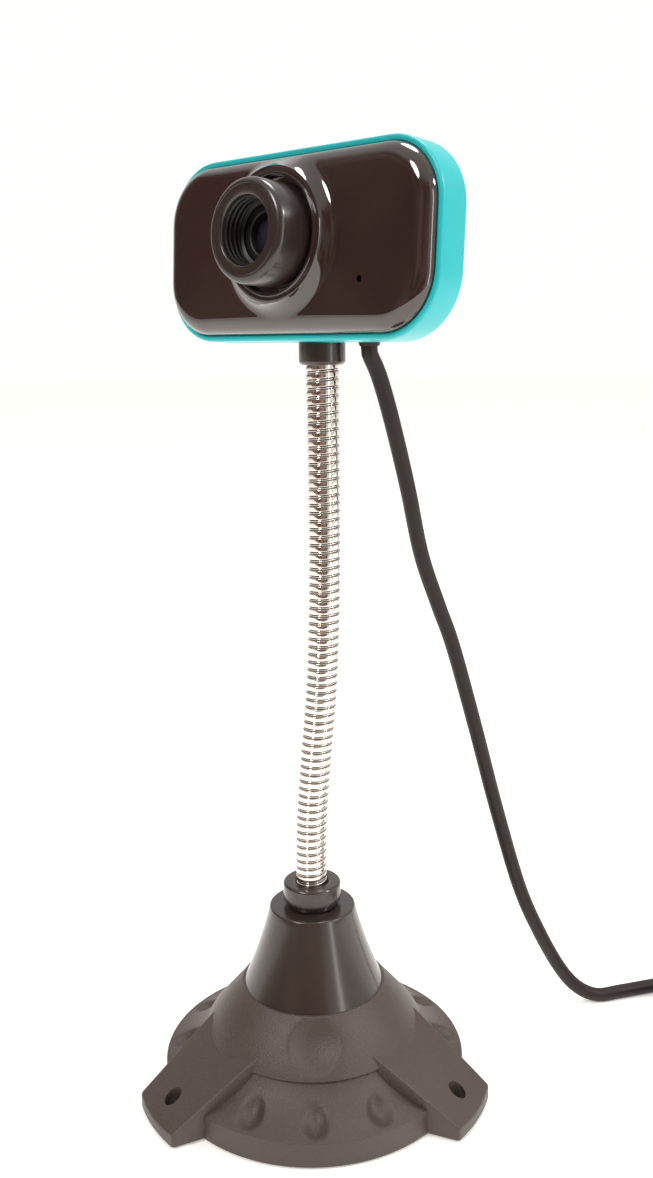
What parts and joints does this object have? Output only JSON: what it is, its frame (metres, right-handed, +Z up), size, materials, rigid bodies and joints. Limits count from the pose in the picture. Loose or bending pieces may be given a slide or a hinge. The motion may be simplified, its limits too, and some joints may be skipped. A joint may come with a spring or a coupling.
{
  "type": "desk webcam on gooseneck stand",
  "caption": "Small webcam head in a rounded turquoise frame with a protruding focus ring, on a bendable metal gooseneck rising from a conical eared foot, with USB cord.",
  "frame": {"origin": "middle of the three ear screw holes' circle, on the desk under the foot", "axes": "+Z up from the desk; the lens looks along -Y, tilted slightly up; +X is to the right when facing the lens"},
  "size_m": [0.1686, 0.1772, 0.2509],
  "materials": {
    "foot_plastic": "fine-grained satin moulding, charcoal",
    "cone_plastic": "glossy charcoal moulding",
    "piano_black": "high-gloss piano black",
    "frame_colour": "satin turquoise moulding",
    "neck_metal": "bright nickel-plated wound wire",
    "steel": "zinc-plated steel",
    "ballast": "bare pressed steel",
    "pad": "closed-cell foam rubber",
    "board": "green solder mask over glass fibre",
    "chip": "moulded package",
    "lens_black": "blackened plastic",
    "ring_black": "satin black plastic",
    "lens_glass": "coated glass",
    "filter_glass": "reddish infrared-cut glass",
    "mic_metal": "drawn aluminium can",
    "seal_rubber": "soft rubber",
    "cord_rubber": "satin black flexible vinyl",
    "plug_plastic": "black flexible overmould",
    "plug_metal": "nickel-plated steel shell",
    "plug_tongue": "white insulator",
    "tie": "black wire tie"
  },
  "bodies": {
    "root": {"foot_ring": "foot_plastic", "middle_cone": "foot_plastic", "gloss_cone": "cone_plastic", "ballast_disc": "ballast", "bottom_plate": "foot_plastic", "non_slip_pad": "pad", "base_screws": "steel", "base_collar": "cone_plastic", "collar_nut": "steel", "neck_link_0": "neck_metal", "usb_cord": "cord_rubber", "cord_coil": "cord_rubber", "cord_tie": "tie", "cord_tail": "cord_rubber", "usb_plug_body": "plug_plastic", "usb_plug_shell": "plug_metal", "usb_plug_tongue": "plug_tongue"},
    "neck_1": {"neck_link_1": "neck_metal"},
    "neck_2": {"neck_link_2": "neck_metal"},
    "neck_3": {"neck_link_3": "neck_metal"},
    "neck_4": {"neck_link_4": "neck_metal"},
    "neck_5": {"neck_link_5": "neck_metal"},
    "neck_6": {"neck_link_6": "neck_metal", "swivel_stud": "steel", "swivel_nut": "steel"},
    "head": {"head_collar": "cone_plastic", "front_fascia": "piano_black", "coloured_frame": "frame_colour", "rear_shell": "piano_black", "case_screws": "steel", "main_board": "board", "board_screws": "steel", "image_sensor": "chip", "lens_holder": "lens_black", "infrared_filter": "filter_glass", "microphone": "mic_metal", "microphone_seal": "seal_rubber", "cord_grommet": "cord_rubber"},
    "focus": {"focus_ring": "ring_black"},
    "lens": {"lens_barrel": "lens_black", "front_lens": "lens_glass", "rear_lens": "lens_glass"}
  },
  "joints": [
    {"name": "neck_nod_1", "type": "hinge", "parent": "root", "child": "neck_1", "pos_m": [0, 0, 0.071], "axis": [1, 0, 0], "range_deg": [-18, 18], "deforming": ["usb_cord"]},
    {"name": "neck_lean_1", "type": "hinge", "parent": "neck_1", "child": "neck_2", "pos_m": [0.001, 0.001, 0.0925], "axis": [0, 1, 0], "range_deg": [-18, 18]},
    {"name": "neck_nod_2", "type": "hinge", "parent": "neck_2", "child": "neck_3", "pos_m": [0.0024, 0.0023, 0.114], "axis": [1, 0, 0], "range_deg": [-18, 18]},
    {"name": "neck_lean_2", "type": "hinge", "parent": "neck_3", "child": "neck_4", "pos_m": [0.0031, 0.003, 0.1355], "axis": [0, 1, 0], "range_deg": [-18, 18]},
    {"name": "neck_nod_3", "type": "hinge", "parent": "neck_4", "child": "neck_5", "pos_m": [0.0034, 0.0032, 0.157], "axis": [1, 0, 0], "range_deg": [-18, 18]},
    {"name": "neck_lean_3", "type": "hinge", "parent": "neck_5", "child": "neck_6", "pos_m": [0.0034, 0.0032, 0.1785], "axis": [0, 1, 0], "range_deg": [-18, 18]},
    {"name": "head_swivel", "type": "hinge", "parent": "neck_6", "child": "head", "pos_m": [0.0034, 0.0032, 0.2], "axis": [0, 0, 1], "range_deg": [-45, 45]},
    {"name": "focus_turn", "type": "hinge", "parent": "head", "child": "focus", "pos_m": [0.0018, -0.01164, 0.23066], "axis": [0, -0.9979, 0.0645], "range_deg": [-150, 150]},
    {"name": "lens_travel", "type": "slide", "parent": "focus", "child": "lens", "axis": [0, -0.9979, 0.0645], "range_m": [-0.00025, 0.00025]}
  ],
  "couplings": [
    {"joint": "neck_nod_2", "follows": "neck_nod_1", "ratio": 1},
    {"joint": "neck_nod_3", "follows": "neck_nod_1", "ratio": 1},
    {"joint": "neck_lean_2", "follows": "neck_lean_1", "ratio": 1},
    {"joint": "neck_lean_3", "follows": "neck_lean_1", "ratio": 1},
    {"joint": "lens_travel", "follows": "focus_turn", "m_per_rad": 0.000079577}
  ]
}
